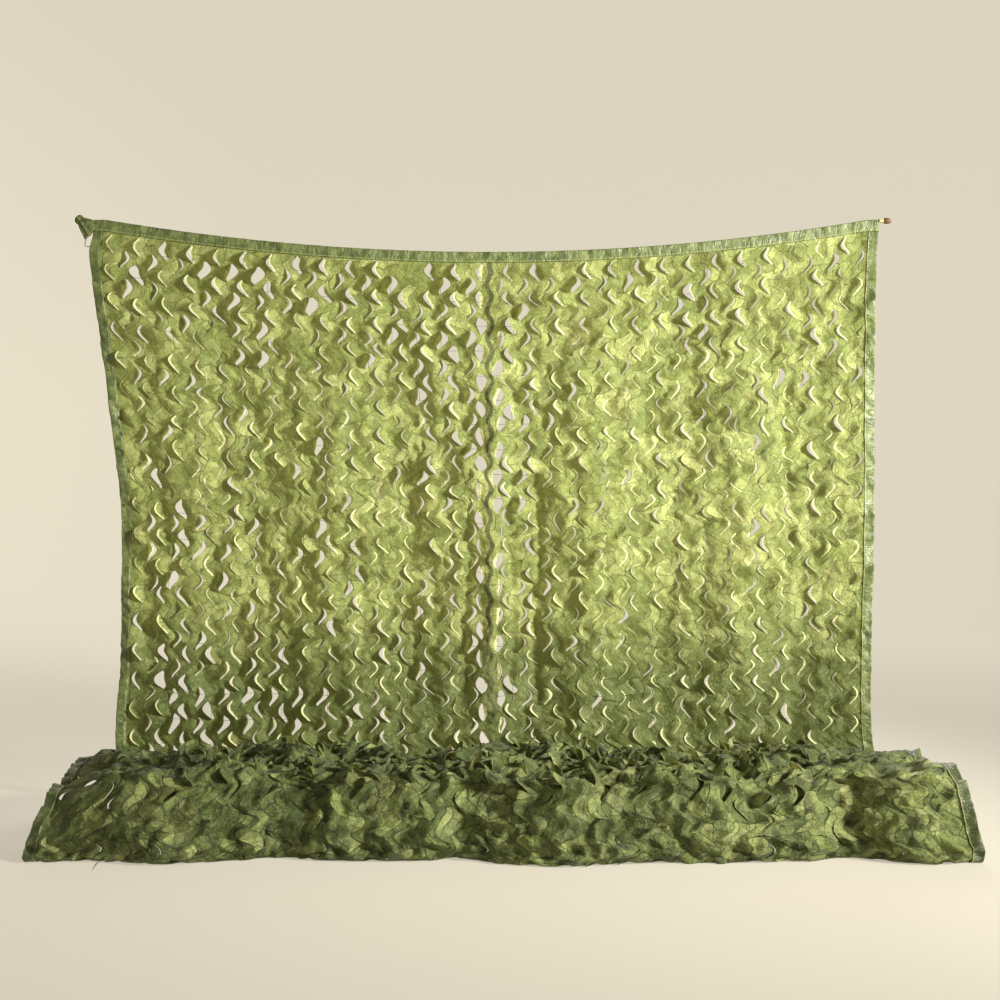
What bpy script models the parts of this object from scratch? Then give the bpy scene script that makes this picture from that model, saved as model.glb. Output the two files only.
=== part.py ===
"""Camouflage netting: 3 m by 5 m of leaf-cut cloth with bound edges, in metres, +Z up.

It hangs by its two top corners, and the length that is left over lies in folds on the floor
in front of the hang. X runs across the net, +Y away from the viewer, and the floor is Z = 0.
A point of the flat net is (across, down): metres from the centre seam, and from the top edge.
"""

import math

import bmesh
import bpy
import numpy as np
from mathutils import Matrix, Vector

# Driving dimensions
NET_WIDTH = 3.0  # two cloth widths of 1.5 m, sewn side by side
NET_LENGTH = 5.0
CLOTH = 0.002  # thickness of the leaf-cut cloth
TAPE = 0.0015  # thickness of the edge binding
TAPE_WIDTH = 0.040  # how far the folded binding reaches onto the cloth
GAP = 0.0003  # between two pieces that touch
SEAM = 0.0006  # between the two panels, where their seam bends round the folds
TUCK = TAPE + 0.001  # from the net's edge to the cloth's own edge inside the binding

# The cuts repeat every 100 mm across and 104 mm down; the solid has every second one each way
LEAF_ACROSS = 0.100
LEAF_DOWN = 0.104
EVERY = 2
CUT_SHARE = 0.72  # of a cell's length, from tip to tip of its cut
CUT_CELL = EVERY * LEAF_ACROSS
HALF_CELL = EVERY * LEAF_DOWN / 2

# How the net lies, from its top edge to its hem. Each row: metres of cloth from the top edge,
# depth y, height z, how loosely it lies (0 flat, 1 rumpled), and the x of its two side edges.
LIE = (
    #  cloth  y       z      loose  left    right
    (0.000, 0.000, 2.048, 0.0, -1.500, 1.402),
    (0.060, 0.000, 1.988, 0.0, -1.508, 1.400),
    (0.110, 0.000, 1.939, 0.0, -1.520, 1.396),
    (0.250, 0.000, 1.804, 0.0, -1.504, 1.390),
    (0.650, 0.000, 1.413, 0.0, -1.447, 1.386),
    (1.130, 0.000, 0.944, 0.0, -1.400, 1.385),
    (1.550, 0.000, 0.533, 0.0, -1.404, 1.374),
    (1.850, 0.004, 0.240, 0.0, -1.422, 1.380),  # the foot of the hang, behind the heap
    (2.000, 0.012, 0.100, 0.0, -1.400, 1.410),
    (2.090, 0.000, 0.026, 0.0, -1.350, 1.430),
    (2.170, -0.055, 0.001, 0.0, -1.300, 1.430),  # forward along the floor
    (2.660, -0.480, 0.001, 0.0, -1.300, 1.430),
    (2.760, -0.565, 0.010, 0.0, -1.300, 1.430),
    (2.850, -0.600, 0.048, 0.0, -1.300, 1.430),  # first fold, at the front
    (2.940, -0.560, 0.086, 0.3, -1.300, 1.430),
    (3.110, -0.440, 0.090, 1.0, -1.300, 1.440),
    (3.300, -0.310, 0.124, 1.0, -1.300, 1.440),
    (3.490, -0.170, 0.098, 0.8, -1.310, 1.440),
    (3.610, -0.090, 0.110, 0.3, -1.350, 1.450),
    (3.700, -0.050, 0.155, 0.2, -1.430, 1.470),  # second fold, at the back
    (3.790, -0.085, 0.210, 0.4, -1.510, 1.490),
    (3.950, -0.210, 0.240, 1.0, -1.520, 1.490),  # the top of the heap
    (4.200, -0.420, 0.250, 1.0, -1.490, 1.480),
    (4.480, -0.650, 0.262, 0.9, -1.450, 1.468),
    (4.580, -0.715, 0.232, 0.7, -1.452, 1.476),  # over its front edge
    (4.700, -0.752, 0.125, 0.7, -1.478, 1.492),
    (4.820, -0.775, 0.028, 0.4, -1.488, 1.508),
    (4.880, -0.760, 0.001, 0.0, -1.480, 1.500),  # the hem, turned under
    (5.000, -0.666, 0.001, 0.0, -1.480, 1.500),
)
HANG_END = 1.850  # metres of cloth down to the heap
TOP_START = 3.775  # metres of cloth to the back of the heap's top
TOP_SAG = 0.126  # how far the middle of the top edge sags below its corners
LOWEST = CLOTH / 2 + GAP + TAPE  # the cloth's middle where the bound net lies on the floor
FLAT_STRIP = NET_WIDTH / 2 - TUCK - TAPE_WIDTH  # past this, a side has no folds across it
SEAM_X = -0.040  # the centre seam hangs straight down at this x, a little left of the middle
SEAM_BENDS = 1.60  # metres of cloth where it leaves that line, in the foot of the hang

# Soft upright folds of the hang: place across, half width, depth towards the viewer
HANG_FOLDS = (
    (-1.22, 0.10, 0.020),
    (-0.92, 0.12, -0.020),
    (-0.62, 0.10, 0.018),
    (-0.33, 0.09, -0.024),
    (0.00, 0.07, 0.016),
    (0.16, 0.08, -0.020),
    (0.40, 0.10, 0.026),
    (0.70, 0.12, -0.018),
    (0.98, 0.11, 0.020),
    (1.24, 0.10, -0.018),
)
# Lumps of the heap: height, wavelength across, wavelength down, phase
LUMPS = (
    (0.012, 0.83, 1.30, 0.4),
    (0.009, 0.47, -0.55, 1.9),
    (0.006, 0.29, 0.41, 4.0),
)
# The heap's ends sink: side, share of the height lost at the end, width of the sunken stretch
END_FALLS = (
    (-1, 0.40, 0.26),
    (1, 0.12, 0.22),
)
FALL_START = 3.65  # metres of cloth where they begin to sink, and how many it takes
FALL_GROWS = 0.35
# The heap's front edge wanders: place across, half width, how far it comes forward
FRONT_BULGES = (
    (-1.07, 0.12, 0.040),
    (-0.71, 0.11, -0.045),
    (-0.14, 0.08, -0.045),
    (0.16, 0.20, 0.065),
    (0.64, 0.26, 0.020),
    (1.09, 0.09, -0.045),
    (1.34, 0.12, 0.035),
)
FRONT_START = 4.35  # metres of cloth where that wandering begins, and how many it takes
FRONT_GROWS = 0.25

# Small parts
KNOT_SIZE = (0.074, 0.050, 0.080)
KNOT_SEAT = (1.0, 0.0, -0.22)  # the side that lies against the bound corner
PEG_RADIUS = 0.011
PEG_LENGTH = 0.026
COLLAR_RADIUS = 0.0085
COLLAR_LENGTH = 0.018
LOOP_CORD = 0.003
TIE_CORD = 0.0014
TIE_ENDS = ((-1.270, 0.112), (-1.262, 0.158))  # place across the net, length


def clear_scene():
    for thing in list(bpy.data.objects):
        bpy.data.objects.remove(thing, do_unlink=True)


def finish(thing, colour, roughness):
    """Gives an object its own material."""
    material = bpy.data.materials.new(thing.name)
    material.use_nodes = True
    shader = material.node_tree.nodes["Principled BSDF"]
    shader.inputs["Base Color"].default_value = (*colour, 1.0)
    shader.inputs["Roughness"].default_value = roughness
    shader.inputs["Metallic"].default_value = 0.0
    thing.data.materials.append(material)


def add_object(name, bm, colour, roughness=0.9):
    bmesh.ops.recalc_face_normals(bm, faces=bm.faces)
    mesh = bpy.data.meshes.new(name)
    bm.to_mesh(mesh)
    bm.free()
    thing = bpy.data.objects.new(name, mesh)
    bpy.context.collection.objects.link(thing)
    finish(thing, colour, roughness)
    return thing


def lie_at(cloth):
    """The row of LIE at some metres of cloth, on smooth curves through the table's rows."""
    table = np.array(LIE)
    steps = np.diff(table[:, 0])
    chords = np.diff(table[:, 1:], axis=0) / steps[:, None]
    slopes = np.vstack([chords[:1], (chords[1:] + chords[:-1]) / 2, chords[-1:]])
    slopes[1:-1][chords[1:] * chords[:-1] <= 0] = 0.0
    i = int(np.clip(np.searchsorted(table[:, 0], cloth) - 1, 0, len(steps) - 1))
    t = (cloth - table[i, 0]) / steps[i]
    a, b = table[i, 1:], table[i + 1, 1:]
    blend = t * t * (3 - 2 * t)
    lean = slopes[i] * (t - 2 * t * t + t**3) + slopes[i + 1] * (t**3 - t * t)
    return a + (b - a) * blend + steps[i] * lean


def smooth(x):
    x = min(max(x, 0.0), 1.0)
    return x * x * (3 - 2 * x)


def gather(across, humps):
    """The sum of a table's soft humps at one place across the net."""
    return sum(size * math.exp(-(((across - at) / wide) ** 2)) for at, wide, size in humps)


def hang_fold(across, down):
    """How far the hang leans towards the viewer at a point; nothing at the stretched top."""
    grown = smooth((down - 0.08) / 0.7) * (1 - 0.5 * smooth((down - 1.5) / 0.4))
    grown *= 1 - smooth((down - HANG_END + 0.1) / 0.15)
    return grown * gather(across, HANG_FOLDS)


def end_fall(across, down):
    """The share of its height that the heap keeps at a point, less towards its two ends."""
    kept = 1.0
    for side, share, width in END_FALLS:
        reach = max(0.0, (width - NET_WIDTH / 2 + side * across) / width)
        kept -= share * reach**2 * smooth((down - FALL_START) / FALL_GROWS)
    return kept


def lump(across, down):
    turn = 2 * math.pi
    return sum(h * math.sin(turn * (across / a + down / b) + p) for h, a, b, p in LUMPS)


def place(across, down):
    """Where a point of the flat net lies in space."""
    edge = NET_WIDTH / 2
    y, z, loose, left, right = lie_at(down)
    x = left + (right - left) * (across / NET_WIDTH + 0.5)
    straight = 1 - smooth((down - SEAM_BENDS) / 0.4)
    x += straight * (SEAM_X - (left + right) / 2) * (1 - (across / edge) ** 2)
    u = min(max(across, -FLAT_STRIP), FLAT_STRIP)
    if down < HANG_END + 0.15:
        rise = TOP_SAG * (u / edge) ** 2 * max(0.0, 1 - down / HANG_END)
        return Vector((x, y - hang_fold(u, down), z + rise))
    before, after = lie_at(down - 0.01), lie_at(down + 0.01)
    along = Vector((0.0, after[0] - before[0], after[1] - before[1])).normalized()
    out = Vector((0.0, along.z, -along.y)) * loose * lump(u, down)
    forward = smooth((down - FRONT_START) / FRONT_GROWS) * gather(u, FRONT_BULGES)
    height = (z + out.z) * end_fall(u, down)
    return Vector((x, y + out.y - forward, max(LOWEST, height)))


def normal(across, down):
    """The cloth's normal at a point of the flat net, on the side that faces the viewer."""
    step = 0.002
    if abs(across) < FLAT_STRIP:
        sideways = place(across + step, down) - place(across - step, down)
    else:
        outer = math.copysign(FLAT_STRIP + 0.03, across)
        sideways = (place(outer, down) - place(across, down)) * math.copysign(1.0, outer - across)
    along = place(across, down + step) - place(across, down - step)
    return along.cross(sideways).normalized()


def at_depth(across, down, depth):
    """A point some depth in front of the cloth's middle, or behind it where depth is negative."""
    return place(across, down) + normal(across, down) * depth


def rows_down():
    """Metres of cloth at each cross row, and the rows that bound the two cut stretches."""
    margin = TUCK + TAPE_WIDTH
    hang = [margin + HALF_CELL * i for i in range(18)]
    marks = [row[0] for row in LIE if hang[-1] + 0.03 < row[0] < TOP_START]
    hidden = [d for a, b in zip(marks, [*marks[1:], TOP_START]) for d in (a, (a + b) / 2)]
    top = [TOP_START + HALF_CELL * i for i in range(11)]
    hem = [4.880, 4.920, NET_LENGTH - margin]
    rows = [TUCK, *hang, *hidden, *top, *hem, NET_LENGTH - TUCK]
    first_top = 1 + len(hang) + len(hidden)
    return rows, ((1, len(hang)), (first_top, first_top + len(top) - 1))


def lines_across(side):
    """Metres from the seam of each lengthwise line of one panel; side is -1 or +1."""
    outer = NET_WIDTH / 2 - TUCK
    cells = int(FLAT_STRIP / CUT_CELL)
    lines = [outer] + [FLAT_STRIP - CUT_CELL * i for i in range(cells + 1)] + [SEAM / 2]
    return sorted(side * a for a in lines)


def cut_outline(centre, bow):
    """The six corners of one leaf cut: a crescent that bows left (-1) or right (+1)."""
    half = CUT_SHARE * HALF_CELL
    shape = ((-9, 1.0), (7, 0.94), (33, 0.0), (7, -0.94), (-9, -1.0), (2, 0.0))
    points = [(bow * a / 1000 + centre[0], -s * half + centre[1]) for a, s in shape]
    return points if bow > 0 else [points[i] for i in (1, 0, 5, 4, 3, 2)]


def cloth_solid(name, points, triangles, colour):
    """The solid of a flat cloth, laid as the net lies: its points and triangles are the flat ones."""
    bm = bmesh.new()
    front, back = ([bm.verts.new(at_depth(*p, d)) for p in points] for d in (CLOTH / 2, -CLOTH / 2))
    sides = set()
    for a, b, c in triangles:
        bm.faces.new((front[a], front[b], front[c]))
        bm.faces.new((back[c], back[b], back[a]))
        sides |= {(a, b), (b, c), (c, a)}
    for a, b in sorted(sides):
        if (b, a) not in sides:
            bm.faces.new((front[b], front[a], back[a], back[b]))
    return add_object(name, bm, colour)


def panel(name, side, colour):
    """One cloth panel: a net of cells, most of them with a leaf cut, laid as the net lies."""
    rows, stretches = rows_down()
    lines = lines_across(side)
    points = [(a, d) for a in lines for d in rows]
    triangles = []

    def fill(*ring):
        triangles.extend((ring[0], ring[k], ring[k + 1]) for k in range(1, len(ring) - 1))

    for i in range(len(lines) - 1):
        left, right = i * len(rows), (i + 1) * len(rows)
        inner = 0 < i < len(lines) - 2
        cut = {j for a, b in stretches for j in range(a + i % 2, b - 1, 2)} if inner else set()
        j = 0
        while j < len(rows) - 1:
            if j not in cut:
                fill(left + j, left + j + 1, right + j + 1, right + j)
                j += 1
                continue
            hole = len(points)
            centre = ((lines[i] + lines[i + 1]) / 2, rows[j + 1])
            points += cut_outline(centre, 1 if i % 2 else -1)
            rim = (left + j, right + j, right + j + 1, right + j + 2, left + j + 2, left + j + 1)
            for k in range(6):
                n = (k + 1) % 6
                fill(rim[n], rim[k], hole + k, hole + n)
            j += 2
    return cloth_solid(name, points, triangles, colour)


def folded_tape(name, edge, inner, colour):
    """A tape folded over an edge. Its edge line and the line it reaches are places on the flat net."""
    slot, outside = CLOTH / 2 + GAP, CLOTH / 2 + GAP + TAPE
    nose = TAPE / TAPE_WIDTH
    profile = ((0.0, outside), (1.0, outside), (1.0, slot), (nose, slot),
               (nose, -slot), (1.0, -slot), (1.0, -outside), (0.0, -outside))
    bm = bmesh.new()
    rings = []
    for a, b in zip(edge, inner):
        flat = [(a[0] + (b[0] - a[0]) * w, a[1] + (b[1] - a[1]) * w, n) for w, n in profile]
        rings.append([bm.verts.new(at_depth(*p)) for p in flat])
    for one, two in zip(rings, rings[1:]):
        for k in range(8):
            n = (k + 1) % 8
            bm.faces.new((one[k], one[n], two[n], two[k]))
    for ring in (rings[0], rings[-1]):
        for quad in ((0, 1, 2, 3), (0, 3, 4, 7), (7, 4, 5, 6)):
            bm.faces.new([ring[k] for k in quad])
    return add_object(name, bm, colour)


def side_binding(name, side, colour):
    rows, _ = rows_down()
    downs = [TAPE_WIDTH + GAP, *rows[2:-2], NET_LENGTH - TAPE_WIDTH - GAP]
    outside, inside = side * NET_WIDTH / 2, side * (NET_WIDTH / 2 - TAPE_WIDTH)
    return folded_tape(name, [(outside, d) for d in downs], [(inside, d) for d in downs], colour)


def end_binding(name, down, colour):
    """The tape over the top edge or the hem; down is 0 or the net's whole length."""
    inside = TAPE_WIDTH if down == 0 else down - TAPE_WIDTH
    end = NET_WIDTH / 2
    lines = [-end, *lines_across(-1)[1:-1], 0.0, *lines_across(1)[1:-1], end]
    return folded_tape(name, [(a, down) for a in lines], [(a, inside) for a in lines], colour)


def knot(name, colour):
    """The top left corner, gathered into a twisted knob against the bound corner."""
    bm = bmesh.new()
    bmesh.ops.create_uvsphere(bm, u_segments=18, v_segments=10, radius=0.5)
    for v in bm.verts:
        turn = math.atan2(v.co.y, v.co.x) + 5.0 * v.co.z
        v.co.x *= 1 + 0.09 * math.sin(5 * turn)
        v.co.y *= 1 + 0.09 * math.sin(5 * turn)
    bmesh.ops.scale(bm, vec=KNOT_SIZE, verts=bm.verts)
    bmesh.ops.rotate(bm, matrix=Matrix.Rotation(math.radians(-28), 3, "Y"), verts=bm.verts)
    corner = place(-NET_WIDTH / 2, 0.0)
    bmesh.ops.translate(bm, vec=corner + Vector((-0.036, 0.0, -0.012)), verts=bm.verts)
    seat = corner - Vector((GAP, 0.0, 0.0))
    geometry = bm.verts[:] + bm.edges[:] + bm.faces[:]
    bmesh.ops.bisect_plane(bm, geom=geometry, plane_co=seat, plane_no=KNOT_SEAT, clear_outer=True)
    bmesh.ops.contextual_create(bm, geom=[e for e in bm.edges if e.is_boundary])
    bottom = min((v.co.copy() for v in bm.verts), key=lambda at: at.z)
    add_object(name, bm, colour)
    return bottom


def cord(name, points, diameter, colour):
    """A short cord along a smooth line through its points, with flat ends."""
    curve = bpy.data.curves.new(name, "CURVE")
    curve.dimensions = "3D"
    curve.bevel_depth = diameter / 2
    curve.bevel_resolution = 2
    curve.use_fill_caps = True
    line = curve.splines.new("POLY")
    line.points.add(len(points) - 1)
    for point, where in zip(line.points, points):
        point.co = (*where, 1.0)
    thing = bpy.data.objects.new(name, curve)
    bpy.context.collection.objects.link(thing)
    finish(thing, colour, 0.8)
    return thing


def tie_loop(name, top, colour):
    """A loop of cord from the knob's underside, out and down to the side binding's edge."""
    start = top - Vector((0.0, 0.0, GAP))
    end = place(-NET_WIDTH / 2, 0.094) - Vector((GAP, 0.0, 0.0))
    leave, arrive = start - Vector((0.0, 0.0, 0.022)), end - Vector((0.034, 0.0, 0.004))
    points = []
    for i in range(15):
        t = i / 14
        near, far = start.lerp(leave, t), arrive.lerp(end, t)
        middle = leave.lerp(arrive, t)
        points.append(near.lerp(middle, t).lerp(middle.lerp(far, t), t))
    return cord(name, points, LOOP_CORD, colour)


def turned(name, x, radii, lengths, centre, colour, roughness):
    """A round piece along X: its radii at each length, closed at both ends."""
    bm = bmesh.new()
    sides = 16
    rings = []
    for radius, along in zip(radii, lengths):
        ring = []
        for k in range(sides):
            a = 2 * math.pi * k / sides
            where = (x + along, centre[0] + radius * math.cos(a), centre[1] + radius * math.sin(a))
            ring.append(bm.verts.new(where))
        rings.append(ring)
    for one, two in zip(rings, rings[1:]):
        for k in range(sides):
            n = (k + 1) % sides
            bm.faces.new((one[k], one[n], two[n], two[k]))
    bm.faces.new(rings[0])
    bm.faces.new(rings[-1])
    return add_object(name, bm, colour, roughness)


def peg_parts():
    """The peg at the top right corner: a tan collar against the bound corner, then a brown tip."""
    corner = place(NET_WIDTH / 2, 0.0)
    centre = (0.0, corner.z - 0.004)
    start = corner.x + GAP
    r, n = COLLAR_RADIUS, COLLAR_LENGTH
    turned("peg_collar", start, (r * 0.9, r, r, r * 0.9), (0, n * 0.1, n * 0.9, n), centre,
           (0.62, 0.52, 0.33), 0.7)
    r, n = PEG_RADIUS, PEG_LENGTH
    radii = (r * 0.8, r, r, r * 0.86, r * 0.5)
    turned("peg", start + COLLAR_LENGTH + GAP, radii, (0, n * 0.12, n * 0.5, n * 0.82, n), centre,
           (0.30, 0.14, 0.05), 0.6)


def tie_ends(colour):
    """Two loose cord ends, sewn to the hem's binding, that come out from under the net's front."""
    bend = 0.004
    down = NET_LENGTH - TAPE_WIDTH
    corner = place(CUT_CELL - FLAT_STRIP, down)  # of the binding's edge, just beside them
    for number, (across, length) in enumerate(TIE_ENDS, 1):
        seat_x = place(across, down).x
        points = []
        for i in range(13):
            along = length * i / 12
            sway = bend * number * math.sin(3.0 * along / length) ** 2
            points.append((seat_x - sway, corner.y - GAP - along, TIE_CORD / 2))
        cord(f"tie_end_{number}", points, TIE_CORD, colour)


def stand_on_origin():
    """Moves every piece so that the origin is under the middle of the net, on the floor."""
    things = [t for t in bpy.data.objects if t.type in {"MESH", "CURVE"}]
    view = bpy.context.evaluated_depsgraph_get()
    points = []
    for thing in things:
        if not thing.name.startswith("tie_end"):
            mesh = thing.evaluated_get(view).to_mesh()
            points += [v.co.copy() for v in mesh.vertices]
    low = [min(p[k] for p in points) for k in range(3)]
    high = [max(p[k] for p in points) for k in range(3)]
    shift = Vector((-(low[0] + high[0]) / 2, -(low[1] + high[1]) / 2, -low[2]))
    for thing in things:
        thing.data.transform(Matrix.Translation(shift))
    print("shift", [round(v, 5) for v in shift], "size", [h - l for l, h in zip(low, high)])


def build():
    clear_scene()
    leaf, leaf_dark = (0.30, 0.36, 0.10), (0.26, 0.33, 0.09)
    tape, string = (0.13, 0.20, 0.06), (0.03, 0.035, 0.015)
    panel("panel_left", -1, leaf_dark)
    panel("panel_right", 1, leaf)
    end_binding("binding_top", 0.0, tape)
    side_binding("binding_left", -1, tape)
    side_binding("binding_right", 1, tape)
    end_binding("binding_bottom", NET_LENGTH, tape)
    tie_loop("tie_loop", knot("corner_knot", tape), string)
    peg_parts()
    tie_ends(string)
    stand_on_origin()


build()
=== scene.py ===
# %% [markdown]
# # Camouflage netting, hung by its top corners
# The real thing is thin woven cloth, cut all over with rows of curved slits and backed with a
# net of string. Its edges are bound with folded tape. It hangs in a shallow curve between its
# two top corners, and the length that is left over lies in folds on the floor in front.
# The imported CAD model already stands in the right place, so it is loaded first and kept as
# the frame that every new piece is fitted to.

import math

import bmesh
import bpy
import numpy as np
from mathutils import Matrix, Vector


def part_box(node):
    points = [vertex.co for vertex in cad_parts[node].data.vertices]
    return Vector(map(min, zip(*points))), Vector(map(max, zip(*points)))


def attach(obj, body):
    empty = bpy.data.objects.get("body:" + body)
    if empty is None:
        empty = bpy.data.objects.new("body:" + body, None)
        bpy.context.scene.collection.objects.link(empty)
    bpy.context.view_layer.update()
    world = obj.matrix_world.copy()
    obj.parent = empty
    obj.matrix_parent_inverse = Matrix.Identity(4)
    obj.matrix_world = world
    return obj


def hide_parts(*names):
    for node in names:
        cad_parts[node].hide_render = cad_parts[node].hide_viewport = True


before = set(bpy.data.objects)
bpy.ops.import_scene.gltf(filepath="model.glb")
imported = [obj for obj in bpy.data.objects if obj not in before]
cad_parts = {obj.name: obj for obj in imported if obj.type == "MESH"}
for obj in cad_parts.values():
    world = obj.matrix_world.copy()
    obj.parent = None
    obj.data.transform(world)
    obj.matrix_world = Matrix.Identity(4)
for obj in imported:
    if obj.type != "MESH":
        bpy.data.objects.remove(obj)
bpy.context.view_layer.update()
bpy.ops.object.select_all(action="DESELECT")
print("nodes:", ", ".join(sorted(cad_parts)))

# %% [markdown]
# ## The camera
# The photograph looks straight at the net from 4.9 m, about half way up, with level sight
# lines: the left and right halves are equally wide and the top edge shows no underside.
# Colours are shown as they are mixed, without a film curve, as the greens are strong ones.

# %% Place the camera
HANG_AT = (0.0336, 0.4046)  # x and y of the hang's middle
FROM_HANG = 4.9
EYE_HEIGHT = 1.13
SENSOR = 36.0
LENS = SENSOR * 1.324
camera = bpy.data.objects.new("camera", bpy.data.cameras.new("camera"))
camera.location = (HANG_AT[0], HANG_AT[1] - FROM_HANG, EYE_HEIGHT)
camera.rotation_euler = (math.radians(90), 0.0, 0.0)
camera.data.sensor_width, camera.data.lens = SENSOR, LENS
bpy.context.collection.objects.link(camera)
scene = bpy.context.scene
scene.camera = camera
scene.view_settings.view_transform = "Standard"
scene.cycles.max_bounces, scene.cycles.diffuse_bounces = 5, 3
print("camera at", tuple(camera.location), "lens", camera.data.lens)

# %% [markdown]
# ## How the net lies
# A point of the flat net is given by two lengths: metres across from its centre seam, and
# metres down from its top edge. A short table says where each stretch of the length goes, and
# smooth curves run through its rows. The same table shaped the CAD solids, so cloth made with
# it lies exactly where they are.

# %% Sizes of the net and the table of its lie
NET_WIDTH = 3.0
NET_LENGTH = 5.0
CLOTH = 0.002
TAPE = 0.0015
TAPE_WIDTH = 0.040
GAP = 0.0003
TUCK = TAPE + 0.001
SHIFT = (0.0336, 0.40463, 0.0)  # from the net's own frame to the model's
LIE = (
    #  cloth  y       z      loose  left    right
    (0.000, 0.000, 2.048, 0.0, -1.500, 1.402),
    (0.060, 0.000, 1.988, 0.0, -1.508, 1.400),
    (0.110, 0.000, 1.939, 0.0, -1.520, 1.396),
    (0.250, 0.000, 1.804, 0.0, -1.504, 1.390),
    (0.650, 0.000, 1.413, 0.0, -1.447, 1.386),
    (1.130, 0.000, 0.944, 0.0, -1.400, 1.385),
    (1.550, 0.000, 0.533, 0.0, -1.404, 1.374),
    (1.850, 0.004, 0.240, 0.0, -1.422, 1.380),  # the foot of the hang, behind the heap
    (2.000, 0.012, 0.100, 0.0, -1.400, 1.410),
    (2.090, 0.000, 0.026, 0.0, -1.350, 1.430),
    (2.170, -0.055, 0.001, 0.0, -1.300, 1.430),  # forward along the floor
    (2.660, -0.480, 0.001, 0.0, -1.300, 1.430),
    (2.760, -0.565, 0.010, 0.0, -1.300, 1.430),
    (2.850, -0.600, 0.048, 0.0, -1.300, 1.430),  # first fold, at the front
    (2.940, -0.560, 0.086, 0.3, -1.300, 1.430),
    (3.110, -0.440, 0.090, 1.0, -1.300, 1.440),
    (3.300, -0.310, 0.124, 1.0, -1.300, 1.440),
    (3.490, -0.170, 0.098, 0.8, -1.310, 1.440),
    (3.610, -0.090, 0.110, 0.3, -1.350, 1.450),
    (3.700, -0.050, 0.155, 0.2, -1.430, 1.470),  # second fold, at the back
    (3.790, -0.085, 0.210, 0.4, -1.510, 1.490),
    (3.950, -0.210, 0.240, 1.0, -1.520, 1.490),  # the top of the heap
    (4.200, -0.420, 0.250, 1.0, -1.490, 1.480),
    (4.480, -0.650, 0.262, 0.9, -1.450, 1.468),
    (4.580, -0.715, 0.232, 0.7, -1.452, 1.476),  # over its front edge
    (4.700, -0.752, 0.125, 0.7, -1.478, 1.492),
    (4.820, -0.775, 0.028, 0.4, -1.488, 1.508),
    (4.880, -0.760, 0.001, 0.0, -1.480, 1.500),  # the hem, turned under
    (5.000, -0.666, 0.001, 0.0, -1.480, 1.500),
)
HANG_END = 1.850
TOP_SAG = 0.126
LOWEST = CLOTH / 2 + GAP + TAPE
FLAT_STRIP = NET_WIDTH / 2 - TUCK - TAPE_WIDTH
SEAM_X = -0.040  # the centre seam hangs straight down at this x
SEAM_BENDS = 1.60
END_FALLS = ((-1, 0.40, 0.26), (1, 0.12, 0.22))  # side, share of the height lost, width
FALL_START = 3.65
FALL_GROWS = 0.35
FRONT_BULGES = (  # place across, half width, how far the heap's front edge comes forward
    (-1.07, 0.12, 0.040),
    (-0.71, 0.11, -0.045),
    (-0.14, 0.08, -0.045),
    (0.16, 0.20, 0.065),
    (0.64, 0.26, 0.020),
    (1.09, 0.09, -0.045),
    (1.34, 0.12, 0.035),
)
FRONT_START = 4.35
FRONT_GROWS = 0.25
HANG_FOLDS = (  # place across, half width, depth towards the viewer
    (-1.22, 0.10, 0.020),
    (-0.92, 0.12, -0.020),
    (-0.62, 0.10, 0.018),
    (-0.33, 0.09, -0.024),
    (0.00, 0.07, 0.016),
    (0.16, 0.08, -0.020),
    (0.40, 0.10, 0.026),
    (0.70, 0.12, -0.018),
    (0.98, 0.11, 0.020),
    (1.24, 0.10, -0.018),
)
LUMPS = (  # height, wavelength across, wavelength down, phase
    (0.012, 0.83, 1.30, 0.4),
    (0.009, 0.47, -0.55, 1.9),
    (0.006, 0.29, 0.41, 4.0),
)
print(f"net {NET_WIDTH} x {NET_LENGTH} m, its lie in {len(LIE)} rows")


# %% Work out where a point of the flat net lies
def smooth(x):
    x = np.clip(x, 0.0, 1.0)
    return x * x * (3 - 2 * x)


def within(down, start, grows, end, fades):
    """1 along a stretch of the cloth and 0 outside it, with soft ends."""
    return smooth((down - start) / grows) * (1 - smooth((down - end) / fades))


def lie_at(down):
    """Depth y, height z, looseness, left x and right x at each length of cloth."""
    table = np.array(LIE)
    steps = np.diff(table[:, 0])
    chords = np.diff(table[:, 1:], axis=0) / steps[:, None]
    slopes = np.vstack([chords[:1], (chords[1:] + chords[:-1]) / 2, chords[-1:]])
    slopes[1:-1][chords[1:] * chords[:-1] <= 0] = 0.0
    i = np.clip(np.searchsorted(table[:, 0], down) - 1, 0, len(steps) - 1)
    t = ((down - table[i, 0]) / steps[i])[:, None]
    a, b = table[i, 1:], table[i + 1, 1:]
    lean = slopes[i] * (t - 2 * t * t + t**3) + slopes[i + 1] * (t**3 - t * t)
    return (a + (b - a) * t * t * (3 - 2 * t) + steps[i][:, None] * lean).T


def gather(across, humps):
    """The sum of a table's soft humps at each place across the net."""
    return sum(size * np.exp(-(((across - at) / wide) ** 2)) for at, wide, size in humps)


def hang_fold(across, down):
    grown = smooth((down - 0.08) / 0.7) * (1 - 0.5 * smooth((down - 1.5) / 0.4))
    grown = grown * (1 - smooth((down - HANG_END + 0.1) / 0.15))
    return grown * gather(across, HANG_FOLDS)


def end_fall(across, down):
    """The share of its height that the heap keeps, less towards its two ends."""
    kept = 1.0
    for side, share, width in END_FALLS:
        reach = np.maximum(0, (width - NET_WIDTH / 2 + side * across) / width)
        kept = kept - share * reach**2 * smooth((down - FALL_START) / FALL_GROWS)
    return kept


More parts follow.
